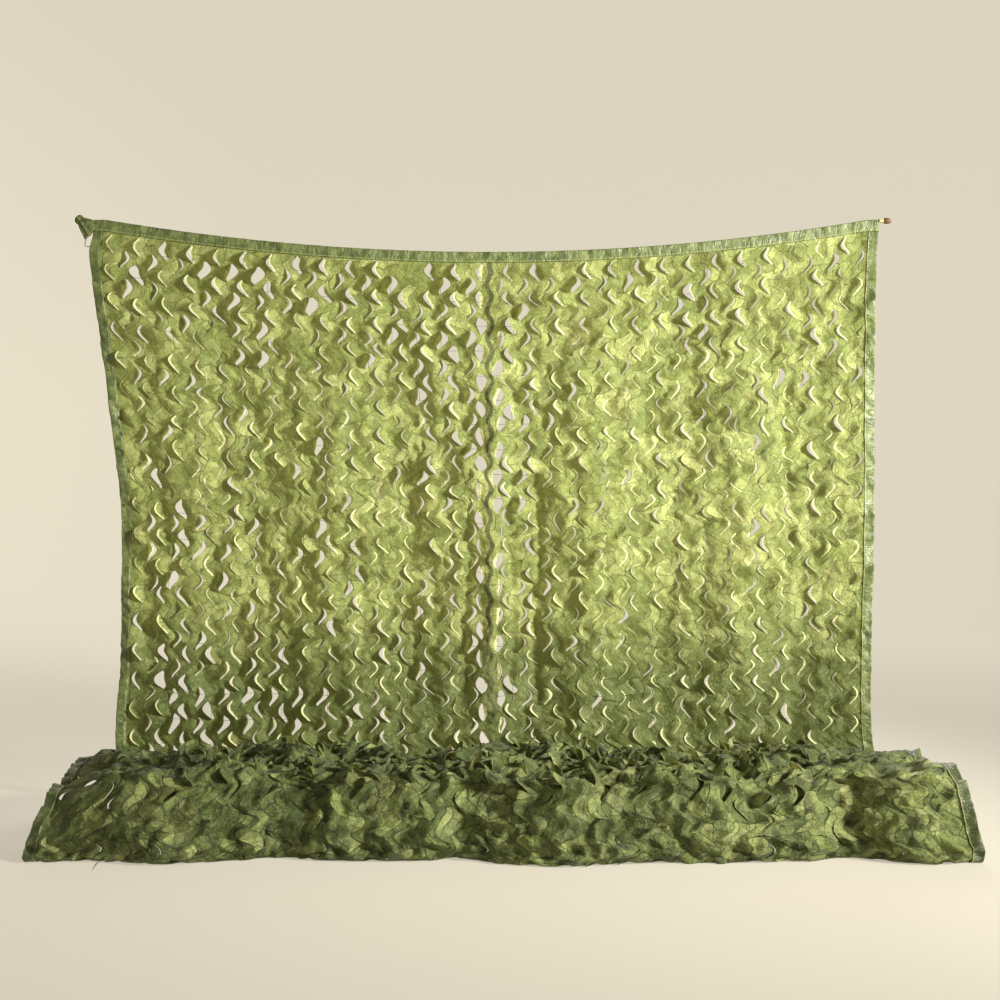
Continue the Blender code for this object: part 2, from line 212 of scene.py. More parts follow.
def place(across, down):
    """Where points of the flat net lie in the model, one row of x, y, z for each."""
    y, z, loose, left, right = lie_at(down)
    x = left + (right - left) * (across / NET_WIDTH + 0.5)
    straight = 1 - smooth((down - SEAM_BENDS) / 0.4)
    x = x + straight * (SEAM_X - (left + right) / 2) * (1 - (2 * across / NET_WIDTH) ** 2)
    u = np.clip(across, -FLAT_STRIP, FLAT_STRIP)
    rise = TOP_SAG * (u / (NET_WIDTH / 2)) ** 2 * np.maximum(0, 1 - down / HANG_END)
    before, after = lie_at(down - 0.01), lie_at(down + 0.01)
    dy, dz = after[0] - before[0], after[1] - before[1]
    turns = ((h, 2 * math.pi * (u / a + down / b) + p) for h, a, b, p in LUMPS)
    lump = loose * sum(h * np.sin(turn) for h, turn in turns) / np.hypot(dy, dz)
    forward = smooth((down - FRONT_START) / FRONT_GROWS) * gather(u, FRONT_BULGES)
    hangs = down < HANG_END + 0.15
    y = np.where(hangs, y - hang_fold(u, down), y + dz * lump - forward)
    z = np.where(hangs, z + rise, np.maximum(LOWEST, (z - dy * lump) * end_fall(u, down)))
    return np.stack([x, y, z], axis=1) + SHIFT


def normal(across, down):
    """The cloth's own direction towards the viewer at points of the flat net."""
    step = 0.002
    outer = np.copysign(FLAT_STRIP + 0.03, across)
    bound = np.abs(across) >= FLAT_STRIP
    one = np.where(bound, np.minimum(outer, across), across - step)
    two = np.where(bound, np.maximum(outer, across), across + step)
    sideways = place(two, down) - place(one, down)
    along = place(across, down + step) - place(across, down - step)
    out = np.cross(along, sideways)
    return out / np.linalg.norm(out, axis=1, keepdims=True)


print("middle of the top edge:", place(np.zeros(1), np.zeros(1)).round(3))

# %% [markdown]
# ## Small unevenness
# Cloth never lies as smoothly as a table of curves. A ripple is a sum of a few long waves in
# random directions, all about one size, which is quick and looks like soft noise. A crumple
# folds a ripple over, so that it has ridges. The hang gets shallow ones and a few creases, the
# heap deep ones, and the tapes pucker. All pieces share this relief and so stay together.


# %% Add the relief that every layer shares
def ripple(across, down, size, seed):
    """Soft noise of about -1 to 1, with waves of about this size in metres."""
    rng = np.random.default_rng(seed)
    total = np.zeros_like(across)
    for _ in range(7):
        turn, phase = rng.uniform(0, 2 * math.pi, 2)
        wave = 2 * math.pi / (size * rng.uniform(0.7, 1.5))
        total += np.sin(wave * (across * math.cos(turn) + down * math.sin(turn)) + phase)
    return total / 3.2


def crumple(across, down, size, seed):
    """Soft facets that meet in sharp ridges, as crushed cloth has."""
    return 1 - 2.1 * np.abs(ripple(across, down, size, seed))


def uneven(across, down, waves):
    """The sum of a table's waves, each with a height, a kind, a size and a seed."""
    return sum(height * kind(across, down, *rest) for height, kind, *rest in waves)


HANG_WAVES = ((0.006, ripple, 0.16, 1), (0.0035, crumple, 0.11, 2), (0.0026, crumple, 0.055, 9))
HEAP_WAVES = ((0.012, ripple, 0.24, 3), (0.010, crumple, 0.17, 4), (0.007, crumple, 0.08, 10))
HEM_RUFFLE, HEM_RUFFLE_AT = 0.010, 4.80
PUCKER, PUCKER_STEP, HEAP_PUCKER = 0.0022, 0.035, 0.006
FOLD_LINES = (  # place across, half width, depth, from and to down
    (-1.05, 0.016, -0.009, 0.30, 1.10),
    (-0.52, 0.014, -0.008, 0.90, 1.70),
    (-0.09, 0.014, -0.009, 0.85, 1.80),
    (0.09, 0.014, -0.010, 0.85, 1.80),
    (0.19, 0.014, -0.010, 0.70, 1.80),
    (0.62, 0.014, -0.008, 0.20, 0.90),
    (1.17, 0.018, -0.014, 0.45, 1.40),
)


def fold_lines(across, down):
    """Narrow creases that run down the hang, each a little crooked."""
    total = np.zeros_like(across)
    for at, wide, deep, start, end in FOLD_LINES:
        middle = at + 0.010 * np.sin(9 * down + 20 * at)
        run = within(down, start, 0.2, end - 0.2, 0.2)
        total += run * deep * np.exp(-(((across - middle) / wide) ** 2))
    return total


def relief(across, down):
    """How far the cloth stands out of its smooth lie, towards the viewer."""
    loose = lie_at(down)[2]
    hung, heaped = within(down, 0.05, 0.25, 1.9, 0.1), within(down, 3.70, 0.12, 4.78, 0.10)
    out = hung * uneven(across, down, HANG_WAVES) + fold_lines(across, down)
    ends = 1 - 0.3 * smooth((np.abs(across) - 1.25) / 0.15)
    out += heaped * np.clip(loose, 0.3, 1) * ends * uneven(across, down, HEAP_WAVES)
    at_hem = np.exp(-(((down - HEM_RUFFLE_AT) / 0.04) ** 2))
    out += HEM_RUFFLE * crumple(across, down, 0.09, 13) * at_hem
    inner = (NET_WIDTH / 2 - np.abs(across)) / 0.05
    pucker = PUCKER * ripple(across * 0.3, down, PUCKER_STEP, 5) * (1 - smooth(inner))
    pucker += HEAP_PUCKER * heaped * ripple(across, down, 0.09, 12) * (1 - smooth(inner / 2))
    top = PUCKER * ripple(across, down * 0.3, PUCKER_STEP, 6) * (1 - smooth(down / 0.05))
    return out + (hung + heaped) * pucker + top


def on_cloth(across, down, depth):
    """Points some depth in front of the cloth, or behind it where depth is negative."""
    out = (relief(across, down) + depth)[:, None]
    where = place(across, down) + normal(across, down) * out
    where[:, 2] = np.maximum(where[:, 2], 0.0008)
    return where


# %% Build meshes and map them
def add_mesh(name, points, faces):
    mesh = bpy.data.meshes.new(name)
    mesh.from_pydata(points, [], faces)
    mesh.update()
    thing = bpy.data.objects.new(name, mesh)
    bpy.context.collection.objects.link(thing)
    mesh.shade_smooth()
    print(f"{name}: {len(mesh.vertices)} points, {len(mesh.polygons)} faces")
    return thing


def face_outwards(thing):
    """Turns every face of a closed piece so that it looks outwards."""
    shell = bmesh.new()
    shell.from_mesh(thing.data)
    bmesh.ops.recalc_face_normals(shell, faces=shell.faces)
    shell.to_mesh(thing.data)
    shell.free()


def ring_faces(count, sides, first=0):
    """Faces of a closed tube of rings of points, its two ends last."""
    faces = []
    for a in range(first, first + (count - 1) * sides, sides):
        for k in range(sides):
            n = (k + 1) % sides
            faces.append((a + k, a + sides + k, a + sides + n, a + n))
    last = first + (count - 1) * sides
    return [*faces, list(range(first, first + sides)), list(range(last, last + sides))[::-1]]


def ringed(name, rings):
    """A closed piece from a row of rings of points."""
    thing = add_mesh(name, rings.reshape(-1, 3).tolist(), ring_faces(*rings.shape[:2]))
    face_outwards(thing)
    return thing


def square_to(middle, guide):
    """Two directions square to a line of points and to each other, at each of its points."""
    ahead = np.gradient(middle, axis=0)
    ahead /= np.linalg.norm(ahead, axis=1, keepdims=True)
    one = np.cross(ahead, guide)
    one /= np.linalg.norm(one, axis=1, keepdims=True)
    return one, np.cross(ahead, one)


def add_map(mesh, title, flat):
    """A UV map in metres of cloth, from one pair of numbers for each point."""
    corner = np.zeros(len(mesh.loops), int)
    mesh.loops.foreach_get("vertex_index", corner)
    mesh.uv_layers.new(name=title).data.foreach_set("uv", flat[corner].ravel())


# %% [markdown]
# ## The leaf-cut cloth
# The cloth is cut on a fine grid whose lengthwise lines all wave together. A slit along a line
# that bows to the right is a ")", and one where it bows to the left is a "(". The two kinds
# stand in turn, 40 and 60 mm apart, half a repeat higher or lower, so every leaf stays joined
# at its neck. When the net is pulled sideways, the tongue inside each bow turns out of the
# cloth, which opens the crescents. Lines with slits have two copies of their points, one for
# the cloth on each side, and the two are one point where there is no slit.

# %% Sizes of the cuts
STEP_ACROSS = 0.010
REPEAT_ACROSS = 0.100
REPEAT_DOWN = 0.104
ROWS = 12  # grid rows in one repeat down
STEP_DOWN = REPEAT_DOWN / ROWS
FIRST_BOW = 0.0165
WAVE = 0.019
TIP_ABOVE, TIP_BELOW = 3, 5  # rows from the slit's widest point to its two tips
HANG_ROWS = (3, 243)
HEAP_ROWS = (421, 566)
SEAM_RIBBON = 0.010
SEAM_LAP = 0.004  # the left width reaches this far behind the right one


def row_at(m):
    return FIRST_BOW + STEP_DOWN * m


print(f"leaf cuts every {REPEAT_ACROSS} m across and {REPEAT_DOWN} m down")


# %% Work out the sideways wave of the grid's lines
def wave_at(across, down):
    """How far a lengthwise line is shifted across at each point."""
    turn = 2 * math.pi * (down - FIRST_BOW) / REPEAT_DOWN
    a = np.abs(across)
    amount = np.interp(
        a, (0.010, 0.030, 0.070, FLAT_STRIP - 0.0275, FLAT_STRIP), (-0.010, 0.0075, WAVE, WAVE, 0)
    )
    spread = np.interp(a, (0.0, 0.010, 0.030, 0.070), (0.0, -0.003, 0.0115, 0.0))
    cut = within(down, 0.03, 0.06, 2.05, 0.07) + within(down, 3.66, 0.06, 4.86, 0.06)
    return cut * (amount * np.cos(turn) + np.sign(across) * spread)


# %% Work out how unevenly the cuts lie
STRAY_ACROSS = ((0.009, ripple, 0.40, 21), (0.006, ripple, 0.15, 22))
STRAY_DOWN = ((0.008, ripple, 0.40, 23), (0.006, ripple, 0.15, 24))


def drift(across, down):
    """How far the cut pattern strays across and down; nothing at the bound edges."""
    amount = smooth((FLAT_STRIP - np.abs(across)) / 0.10)
    hung, heaped = within(down, 0.10, 0.15, 1.95, 0.12), within(down, 3.70, 0.12, 4.72, 0.14)
    amount = amount * (hung + 1.5 * heaped) * (0.4 + 0.6 * smooth(np.abs(across) / 0.12))
    return amount * uneven(across, down, STRAY_ACROSS), amount * uneven(across, down, STRAY_DOWN)


# %% Choose how far each tongue turns
OPEN_PLACES = (  # across, down, half width, half height, degrees more than elsewhere
    (-0.75, 0.10, 0.75, 0.20, 42),
    (0.75, 0.10, 0.70, 0.20, 16),
    (-0.08, 0.50, 0.26, 0.34, 34),
    (0.11, 0.95, 0.06, 0.60, 26),
    (0.20, 1.35, 0.05, 0.20, 24),
    (-1.20, 1.72, 0.30, 0.16, 40),
    (-0.75, 1.75, 0.35, 0.10, 18),
    (0.80, 0.32, 0.07, 0.20, 30),
    (1.20, 0.42, 0.10, 0.16, 24),
    (-1.25, 1.20, 0.08, 0.25, 22),
)


def tongue_turn(across, down, rng):
    """Degrees that a tongue turns out of the cloth, towards the viewer where positive."""
    side = 1 if rng.random() < 0.6 else -1
    if abs(across) < 0.05 and down < 2.2:
        widest = 165 if across < 0 else 120
        return -rng.uniform(20, widest) * (1 if down < 1.0 else 0.8)
    if down > 3:
        if down > 4.62 or abs(across) > 1.12:
            return 0.0 if rng.random() < 0.7 else side * rng.uniform(2, 9)
        if rng.random() < 0.25:
            return side * rng.uniform(25, 55)
        return side * rng.uniform(8, 34)
    turn = rng.uniform(28, 55) if rng.random() < 0.25 else rng.uniform(2, 26)
    turn *= 0.68 if across > 0.15 else 0.9
    for at, level, wide, high, more in OPEN_PLACES:
        near = ((across - at) / wide) ** 2 + ((down - level) / high) ** 2
        turn += more * rng.uniform(0.7, 1.1) * math.exp(-near)
    return side * min(turn, 88)


# %% Cut and turn the tongues
def open_slit(cloth, column, row, bow, turn, length, rng):
    """Moves the cloth's points around one slit and paints light and shade on them; bow is +1 for
    ")" and -1 for "(".
    """
    rows = np.arange(row - TIP_ABOVE + 1, row + TIP_BELOW)
    s = (rows - row - (TIP_BELOW - TIP_ABOVE) / 2) / ((TIP_ABOVE + TIP_BELOW) / 2)
    peak = rng.uniform(-0.35, 0.35)
    s = np.where(s < peak, (s - peak) / (1 + peak), (s - peak) / (1 - peak))
    reach = length * (1 - np.abs(s) ** rng.uniform(1.2, 2.4)) ** 0.7
    belly = rng.uniform(-0.22, 0.22) * length
    # painted light and shade: each tongue lighter or darker at random, as if turned its own way to
    # the light
    tone = rng.choice((-1, 1)) * rng.uniform(0.2, 1.0)
    tilt = math.radians(abs(turn))
    way = math.copysign(1, turn)
    tongue, rim = (0, 1) if bow > 0 else (1, 0)
    for k in range(int(length / STEP_ACROSS) + 1):
        i = column - bow * k
        if not 0 <= i < cloth["shift"].shape[1]:
            break
        part = np.maximum(0, 1 - k * STEP_ACROSS / reach)
        for c in (tongue,) if k == 0 else (0, 1):
            cloth["shift"][rows, i, c] -= bow * part * reach * (1 - math.cos(tilt))
            cloth["lift"][rows, i, c] += way * part * reach * math.sin(tilt)
            cloth["lift"][rows, i, c] += belly * np.sin(math.pi * part) * (1 - s * s)
            cloth["tone"][rows, i, c] += tone * part
    for k in range(4):
        i = column + bow * k
        if 0 <= i < cloth["shift"].shape[1]:
            gape = 0.012 * (1 - k / 4) * (1 - s * s) * min(1, math.sin(tilt))
            for c in (rim,) if k == 0 else (0, 1):
                cloth["shift"][rows, i, c] += 0.35 * bow * gape
                cloth["lift"][rows, i, c] -= way * gape
    # painted highlight on the tongue's cut edge, and painted shade on the cloth across the slit
    # from it
    cloth["lip"][rows, column, tongue] = 1.0 if rng.random() < 0.5 else rng.uniform(0.25, 0.6)
    cloth["lip"][rows, column, rim] = -1.0
    cloth["split"][rows, column] = True


def leaf_panel(name, side):
    """One width of leaf-cut cloth, from the centre seam to its bound edge."""
    rng = np.random.default_rng(11 + side)
    steps = int(FLAT_STRIP / STEP_ACROSS)
    seam = GAP if side > 0 else -SEAM_LAP
    lines = [seam, *(STEP_ACROSS * k for k in range(1, steps + 1)), FLAT_STRIP]
    lines = np.array([*lines, FLAT_STRIP + 0.020, NET_WIDTH / 2 - TUCK])
    lines = lines if side > 0 else -lines[::-1]
    hang, heap = (row_at(np.arange(low, high + 1)) for low, high in (HANG_ROWS, HEAP_ROWS))
    hidden = np.linspace(hang[-1], heap[0], 62)[1:-1]
    hem = [4.940, NET_LENGTH - TAPE_WIDTH - TUCK, 4.977, NET_LENGTH - TUCK]
    downs = np.array([TUCK, 0.022, *hang, *hidden, *heap, *hem])
    first = {HANG_ROWS: 2, HEAP_ROWS: 2 + len(hang) + len(hidden)}
    u, d = np.meshgrid(lines, downs)
    cloth = {"shift": np.repeat(wave_at(u, d)[:, :, None], 2, axis=2)}
    cloth.update({key: np.zeros_like(cloth["shift"]) for key in ("lift", "tone", "lip")})
    cloth["split"] = np.zeros(u.shape, bool)
    if side < 0:
        cloth["lift"][:, -1] = -0.3 * SEAM_LAP
    for i, line in enumerate(lines):
        bow = {3: 1, 7: -1}.get(round((line % REPEAT_ACROSS) / STEP_ACROSS) % 10)
        if bow is None or abs(line) > FLAT_STRIP - 0.02:
            continue
        for (top, bottom), base in first.items():
            for m in range(top + TIP_ABOVE, bottom - TIP_BELOW + 1):
                if m % ROWS != (0 if bow > 0 else ROWS // 2) or rng.random() < 0.03:
                    continue
                turn = tongue_turn(line, row_at(m), rng)
                length = 0.021 if abs(line) < 0.05 else rng.uniform(0.038, 0.050)
                length *= 1.0 if base < 300 else 1.2
                open_slit(cloth, i, base + m - top, bow, turn, length, rng)
    return build_panel(name, u, d, cloth)


# %% Build the cloth's mesh
def build_panel(name, u, d, cloth):
    """One mesh from the grid and its cuts, with a map of the flat cloth and values for its painted
    light and shade.
    """
    split = cloth["split"]
    first = np.arange(u.size).reshape(u.shape)
    second = first.copy()
    second[split] = u.size + np.arange(split.sum())

    def points_of(one, two):
        return np.concatenate([one.ravel(), two[split]])

    shift, lift, tone, lip = (
        points_of(*np.moveaxis(cloth[key], 2, 0)) for key in ("shift", "lift", "tone", "lip")
    )
    side, level = points_of(u, u), points_of(d, d)
    over, below = drift(side, level)
    across, down = side + over + shift, level + below
    lift = np.where((lift < 0) & (down < 2.3), 0.6 * lift, lift)
    points = on_cloth(across, down, lift)
    quads = np.stack([second[:-1, :-1], second[1:, :-1], first[1:, 1:], first[:-1, 1:]], 2)
    thing = add_mesh(name, points.tolist(), quads.reshape(-1, 4).tolist())
    mesh = thing.data
    add_map(mesh, "flat_cloth", np.stack([side, level], 1))
    add_map(mesh, "laid_cloth", np.stack([across, down], 1))
    ribbon = (np.abs(side) <= SEAM_RIBBON + 0.001) * (1 - smooth((level - 1.7) / 0.3))
    freed = smooth((level - 1.9) / 0.3)
    loose = 0.45 + 0.55 * freed
    # Painted highlights on the lips fade out on the heap; the painted shade beside the slits is
    # weaker on the hang.
    kept_highlight = lip * (1 - 0.75 * smooth((level - 2.2) / 0.5))
    lip = np.where(lip > 0, kept_highlight, lip * (0.4 + 0.6 * loose))
    back_row = 1 - smooth((level - 4.25) / 0.25)
    # Painted shade: darker from the foot of the hang along the floor, and on the heap, most at its
    # left and along its top behind, where less light reaches. It is taken off each tongue's
    # painted light and shade, which is weaker on the hang.
    shade = 0.72 * within(level, 1.20, 0.5, 3.0, 0.5)
    shade += smooth((level - 3.60) / 0.2) * (0.46 - 0.12 * side / 1.5 + 0.26 * back_row)
    tone = tone * (0.28 + 0.72 * freed) - shade
    tints = {"lip": lip, "tone": tone, "ribbon": ribbon, "loose": loose}
    for title, values in tints.items():
        mesh.attributes.new(title, "FLOAT", "POINT").data.foreach_set("value", values)
    return thing


panel_left = leaf_panel("leaf_cloth_left", -1)
panel_right = leaf_panel("leaf_cloth_right", 1)

# %% [markdown]
# ## The string net
# Behind the cloth lies a net of thin dark string, which carries its weight and shows as fine
# lines across the widest openings. Each string is a thin three-sided tube.

# %% Lay the strings
STRING = 0.0007
STRING_DEPTH = -0.012
STRING_STEP = 0.030
STRING_GAP = 0.0933
STRING_SPANS = ((0.045, 2.12), (3.67, 4.87))


def string_net(name):
    points, faces = [], []

    def lay(across, down):
        middle = on_cloth(across, down, STRING_DEPTH)
        one, two = square_to(middle, (0.31, 0.87, 0.38))
        turns = (2 * math.pi * k / 3 for k in range(3))
        rings = [middle + STRING * (one * math.cos(a) + two * math.sin(a)) for a in turns]
        faces.extend(ring_faces(len(middle), 3, len(points)))
        points.extend(np.stack(rings, 1).reshape(-1, 3).tolist())

    for low, high in STRING_SPANS:
        downs = np.arange(low, high, STRING_STEP)
        for across in np.arange(-1.40, 1.41, STRING_GAP):
            lay(across + 0.003 * ripple(np.full(len(downs), across), downs, 0.3, 7), downs)
        sides = np.arange(-FLAT_STRIP, FLAT_STRIP, STRING_STEP)
        for down in np.arange(low + 0.05, high, STRING_GAP):
            lay(sides, down + 0.003 * ripple(sides, np.full(len(sides), down), 0.3, 8))
    return add_mesh(name, points, faces)


strings = string_net("string_net")

# %% [markdown]
# ## The bound edges
# Each edge is covered by a tape folded round it and sewn through. Its section runs across the
# front, round the fold at the edge and back across the rear, with the cloth in the slot.


# %% Fold the four tapes
def folded_tape(name, edge, inner):
    """A tape with its fold along the edge line; edge and inner are (across, down) arrays."""
    slot, outside = CLOTH / 2 + GAP, CLOTH / 2 + GAP + TAPE
    nose = TAPE / TAPE_WIDTH
    outer = [(w, outside) for w in (0.04, 0.12, 0.3, 0.5, 0.7, 0.88, 0.97)]
    profile = [(0.0, outside * 0.55), *outer, (1.0, (slot + outside) / 2), (0.97, slot)]
    profile += [(0.5, slot), (nose, slot)]
    profile += [(w, -n) for w, n in reversed(profile)]
    rings = []
    for w, n in profile:
        across, down = (e + (i - e) * w for e, i in zip(edge, inner))
        rings.append(on_cloth(across, down, n))
    thing = ringed(name, np.stack(rings, 1))
    along = np.hypot(*(np.diff(e, prepend=e[0]) for e in edge))
    widths = np.array([w * TAPE_WIDTH for w, _ in profile])
    flat = np.stack(np.meshgrid(np.cumsum(along), widths, indexing="ij"), 2).reshape(-1, 2)
    add_map(thing.data, "tape", flat)
    return thing


def side_tape(name, side):
    ends = TAPE_WIDTH + GAP
    down = np.concatenate([np.arange(ends, NET_LENGTH - ends, 0.010), [NET_LENGTH - ends]])
    full = np.full(len(down), side * NET_WIDTH / 2)
    return folded_tape(name, (full, down), (full - side * TAPE_WIDTH, down))


def end_tape(name, down, inside):
    across = np.linspace(-NET_WIDTH / 2, NET_WIDTH / 2, 301)
    flat = np.full(len(across), down)
    return folded_tape(name, (across, flat), (across, flat + inside))


tapes = {
    "binding_top": end_tape("tape_top", 0.0, TAPE_WIDTH),
    "binding_left": side_tape("tape_left", -1),
    "binding_right": side_tape("tape_right", 1),
    "binding_bottom": end_tape("tape_bottom", NET_LENGTH, -TAPE_WIDTH),
}

# %% [markdown]
# ## The gathered corner
# The top left corner is drawn together: its cloth runs in pleats out of the two tapes, narrows
# to a neck and ends in a small twisted knob. It is a row of rings along a short bent line,
# wavy where the pleats are, each turned a little further, and flatter near the net.

# %% Draw the corner together
PLEATS = 8
GATHER_LINE = ((-0.067, 0.010), (-0.046, -0.008), (-0.008, -0.044))  # x and z from the corner
GATHER_RINGS = (  # share of the line, radius, share of it in depth
    (0.00, 0.0040, 1.00),
    (0.03, 0.0100, 1.00),
    (0.12, 0.0150, 1.00),
    (0.24, 0.0165, 1.00),
    (0.34, 0.0150, 1.00),
    (0.50, 0.0215, 0.80),
    (0.75, 0.0310, 0.50),
    (1.00, 0.0400, 0.28),
)


def gathered_corner(name):
    corner = place(np.array([-NET_WIDTH / 2]), np.zeros(1))[0]
    share = np.linspace(0, 1, 41)
    a, b, c = (np.array(p) for p in GATHER_LINE)
    line = np.outer((1 - share) ** 2, a) + np.outer(2 * share * (1 - share), b)
    line += np.outer(share**2, c)
    ahead = np.gradient(line, axis=0)
    ahead /= np.linalg.norm(ahead, axis=1, keepdims=True)
    stops, radii, depths = np.array(GATHER_RINGS).T
    radius, depth = np.interp(share, stops, radii), np.interp(share, stops, depths)
    around = np.linspace(0, 2 * math.pi, 96, endpoint=False)
    points = []
    for s, (x, z), (dx, dz), r, flat in zip(share, line, ahead, radius, depth):
        pleat = 1 + 0.13 * np.sin(PLEATS * around + 5.0 * s + np.sin(3 * around))
        wide = r * pleat * np.cos(around)
        deep = r * pleat * np.sin(around) * flat
        points.append(corner + np.stack([x - dz * wide, deep, z + dx * wide], 1))
    return ringed(name, np.array(points))


gathered = gathered_corner("gathered_corner")

# %% [markdown]
# ## The cords
# A thin dark cord makes a small loop under the gathered corner, and two short ends, 112 and
# 158 mm, come out from under the hem. Such cord is two strands laid round each other, so its
# section is longer one way than the other and turns along the cord.

# %% Lay the cords
TIE_CORD = 0.0014
LOOP_CORD = 0.003
TIE_ENDS = ((-1.270, 0.112), (-1.262, 0.158))  # place across the net, length
TIE_BEND = 0.004


def laid_cord(name, route, diameter, guide=(0.2, 0.1, 0.97)):
    """A cord of two twisted strands along a route's points, none of which runs as guide does."""
    route = np.array(route)
    runs = np.concatenate([[0], np.cumsum(np.linalg.norm(np.diff(route, axis=0), axis=1))])
    along = np.linspace(0, runs[-1], int(runs[-1] / diameter * 2) + 2)
    middle = np.stack([np.interp(along, runs, route[:, k]) for k in range(3)], 1)
    one, two = square_to(middle, guide)
    around = np.linspace(0, 2 * math.pi, 12, endpoint=False)
    rings = []
    for here, p, q, s in zip(middle, one, two, along):
        twist = 2 * math.pi * s / (3.6 * diameter)
        r = diameter / 2 * (0.82 + 0.18 * np.cos(2 * (around - twist)))
        rings.append(here + np.outer(r * np.cos(around), p) + np.outer(r * np.sin(around), q))
    return ringed(name, np.array(rings))


def tie_route(number, across, length):
    """The same points as the solid cord end has: out from the hem's tape, along the floor."""
    down = np.full(2, NET_LENGTH - TAPE_WIDTH)
    seat, tape_corner = place(np.array([across, 2 * REPEAT_ACROSS - FLAT_STRIP]), down)
    along = length * np.arange(13) / 12
    sway = TIE_BEND * number * np.sin(3.0 * along / length) ** 2
    return [(seat[0] - w, tape_corner[1] - GAP - a, TIE_CORD / 2) for w, a in zip(sway, along)]


def loop_route():
    """From the gathered corner's underside out and down to the side tape's edge."""
    low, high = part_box("tie_loop")
    ring = [v.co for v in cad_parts["tie_loop"].data.vertices if v.co.z > high[2] - 0.001]
    start = np.mean([tuple(p) for p in ring], axis=0)
    end = place(np.array([-NET_WIDTH / 2]), np.array([0.094]))[0] - (GAP, 0, 0)
    leave, arrive = start - (0, 0, 0.022), end - (0.034, 0, 0.004)
    t = np.linspace(0, 1, 25)[:, None]
    return (1 - t) ** 3 * start + 3 * t * (1 - t) * ((1 - t) * leave + t * arrive) + t**3 * end


loop = laid_cord("tie_loop_cord", loop_route(), LOOP_CORD, (0.1, 0.97, 0.2))
tie_ends = {}
for number, (across, length) in enumerate(TIE_ENDS, 1):
    route = tie_route(number, across, length)
    cord = laid_cord(f"tie_end_cord_{number}", route, TIE_CORD)
    tie_ends[f"tie_end_{number}"] = (cord, route, length)

# %% [markdown]
# ## The peg
# At the top right corner a wooden peg shows: a brown tip with a blunt, worn end, and behind
# it a few turns of tan cord that hold the corner on it. The tip is a cylinder whose end face
# is extruded and scaled, with bevelled rims. Each turn of the wrap is a torus.

# %% Turn the peg and wind its cord
LYING = (0, math.radians(90), 0)


def measured(node):
    """Deselects everything and gives a node's low and high corner and its middle."""
    bpy.ops.object.select_all(action="DESELECT")
    low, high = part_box(node)
    return low, high, [(a + b) / 2 for a, b in zip(low, high)]


def settle(thing, name):
    """Names a finished piece and leaves its place in its mesh, with its object at the origin."""
    thing.select_set(True)
    bpy.context.view_layer.objects.active = thing
    bpy.ops.object.transform_apply()
    bpy.ops.object.shade_smooth_by_angle(angle=math.radians(40))
    thing.name = thing.data.name = name
    print(f"{name}: {len(thing.data.polygons)} faces")
    return thing


def peg_tip(name):
    low, high, middle = measured("peg")
    radius, length = (high[2] - low[2]) / 2, high[0] - low[0]
    start = (low[0] + length * 0.27, *middle[1:])
    bpy.ops.mesh.primitive_cylinder_add(
        vertices=28, radius=radius, depth=length * 0.5, location=start, rotation=LYING
    )
    tip = bpy.context.object
    bpy.ops.object.mode_set(mode="EDIT")
    bpy.ops.mesh.select_all(action="DESELECT")
    shape = bmesh.from_edit_mesh(tip.data)
    bpy.ops.mesh.select_mode(type="FACE")
    for face in shape.faces:
        face.select_set(face.normal.z > 0.9)
    bmesh.update_edit_mesh(tip.data)
    for step, scale in ((0.20, 0.90), (0.16, 0.82), (0.10, 0.74)):
        move = {"value": (length * step, 0, -0.0006)}
        bpy.ops.mesh.extrude_region_move(TRANSFORM_OT_translate=move)
        bpy.ops.transform.resize(value=(scale, scale, scale))
    bpy.ops.object.mode_set(mode="OBJECT")
    bevel = tip.modifiers.new("soft_rims", "BEVEL")
    bevel.width, bevel.segments, bevel.angle_limit = 0.0012, 3, math.radians(30)
    bpy.ops.object.modifier_apply(modifier=bevel.name)
    return settle(tip, name)


def peg_wrap(name, turns=6):
    low, high, middle = measured("peg_collar")
    cord = (high[0] - low[0]) / turns / 2
    radius = (high[2] - low[2]) / 2 - cord
    bpy.ops.mesh.primitive_cylinder_add(
        vertices=24, radius=radius, depth=high[0] - low[0], location=middle, rotation=LYING
    )
    core = bpy.context.object
    rings = []
    for k in range(turns):
        bpy.ops.mesh.primitive_torus_add(
            location=(low[0] + cord * (2 * k + 1), *middle[1:]), rotation=(0, math.radians(96), 0),
            major_radius=radius, minor_radius=cord * 0.98, major_segments=32, minor_segments=10,
        )
        rings.append(bpy.context.object)
    for ring in (*rings, core):
        ring.select_set(True)
    bpy.context.view_layer.objects.active = core
    bpy.ops.object.join()
    return settle(core, name)


peg = peg_tip("peg_tip")
wrap = peg_wrap("peg_wrap")

# %% [markdown]
# ## Colours and nodes
# Colours are picked as sRGB hex codes, as a screen shows them, and Blender mixes light in
# linear numbers, so one function turns them over. Another adds a node with its settings and
# its links. Most marks on the cloth are one colour laid over another where a value is high.


# %% Helpers for materials
def hex_colour(code):
    parts = [int(code[i : i + 2], 16) / 255 for i in (1, 3, 5)]
    return (*(c / 12.92 if c <= 0.04045 else ((c + 0.055) / 1.055) ** 2.4 for c in parts), 1.0)


def add_node(mat, kind, settings=None, links=None):
    """Adds a node: settings by property or socket name, links from other nodes' sockets."""
    node = mat.node_tree.nodes.new("ShaderNode" + kind)
    for key, value in (settings or {}).items():
        if isinstance(key, str) and hasattr(node, key):
            setattr(node, key, value)
        else:
            node.inputs[key].default_value = value
    for key, source in (links or {}).items():
        mat.node_tree.links.new(source, node.inputs[key])
    return node.outputs


def new_material(name):
    """An empty material, and the place in the room as its first node."""
    mat = bpy.data.materials.new(name)
    mat.use_nodes = True
    mat.node_tree.nodes.clear()
    return mat, add_node(mat, "TexCoord")["Object"]


